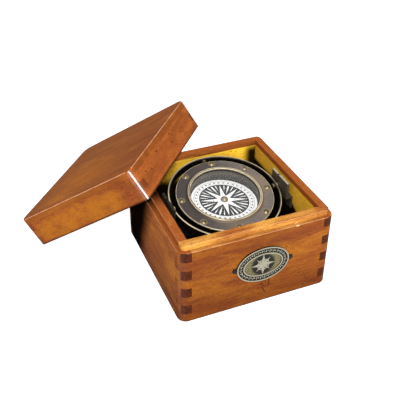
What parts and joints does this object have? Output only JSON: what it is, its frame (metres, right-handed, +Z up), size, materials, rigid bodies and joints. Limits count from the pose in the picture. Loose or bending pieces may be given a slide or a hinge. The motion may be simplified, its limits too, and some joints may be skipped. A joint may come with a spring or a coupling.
{
  "type": "gimballed boat compass in a wooden box",
  "caption": "Dry-card compass in a gimballed brass bowl, set in a square finger-jointed wooden box with its lift-off lid lying against one corner.",
  "frame": {"origin": "centre of the box's underside, on the table", "axes": "+Z up, -Y towards the box's badge face, +X towards the box's right side"},
  "size_m": [0.2267, 0.2505, 0.1002],
  "materials": {
    "box_wood": "orange-brown varnished hardwood, semi-gloss",
    "lid_wood": "red-brown varnished hardwood, glossy",
    "felt": "black felt",
    "badge_brass": "antiqued pewter-toned brass, raised rims rubbed bright",
    "aged_brass": "dull aged brass",
    "dark_bronze": "dark bronze patina with edges rubbed bright",
    "glass": "clear flat glass",
    "gasket": "black rubber",
    "ballast": "dull grey weight",
    "needle_steel": "hardened steel",
    "card_white": "white printed card with a charcoal rose",
    "jewel": "ruby cup jewel",
    "magnet_steel": "bare magnet steel"
  },
  "bodies": {
    "box": {"front_wall": "box_wood", "back_wall": "box_wood", "left_wall": "box_wood", "right_wall": "box_wood", "floor_board": "box_wood", "floor_felt": "felt", "badge_plate": "badge_brass", "badge_nails": "aged_brass", "left_bracket": "dark_bronze", "right_bracket": "dark_bronze", "bracket_screws": "aged_brass"},
    "lid": {"lid_panel": "lid_wood", "lid_front": "lid_wood", "lid_back": "lid_wood", "lid_left": "lid_wood", "lid_right": "lid_wood"},
    "gimbal": {"gimbal_ring": "dark_bronze", "ring_pins": "aged_brass", "ring_bushes": "aged_brass", "bowl_pivot_screws": "aged_brass", "pivot_locknuts": "aged_brass"},
    "bowl": {"bowl_shell": "dark_bronze", "verge_ring": "dark_bronze", "glass_gasket": "gasket", "glass": "glass", "bezel": "dark_bronze", "bezel_screws": "aged_brass", "ballast_weight": "ballast", "pivot_stem": "aged_brass", "pivot_needle": "needle_steel", "stem_nut": "aged_brass"},
    "card": {"card_disc": "card_white", "card_cap": "aged_brass", "cap_jewel": "jewel", "card_magnets": "magnet_steel"}
  },
  "joints": [
    {"name": "lid_lift", "type": "slide", "parent": "box", "child": "lid", "axis": [0, 0, 1], "range_m": [0, 0.11]},
    {"name": "gimbal_roll", "type": "hinge", "parent": "box", "child": "gimbal", "pos_m": [0, 0, 0.062], "axis": [1, 0, 0], "range_deg": [-56, 34]},
    {"name": "bowl_pitch", "type": "hinge", "parent": "gimbal", "child": "bowl", "pos_m": [0, 0, 0.062], "axis": [0, 0.9816, 0.1908], "range_deg": [-45, 45]},
    {"name": "card_turn", "type": "hinge", "parent": "bowl", "child": "card", "pos_m": [0, 0.00025, 0.06072], "axis": [0.0488, -0.0777, 0.9958], "continuous": true}
  ]
}
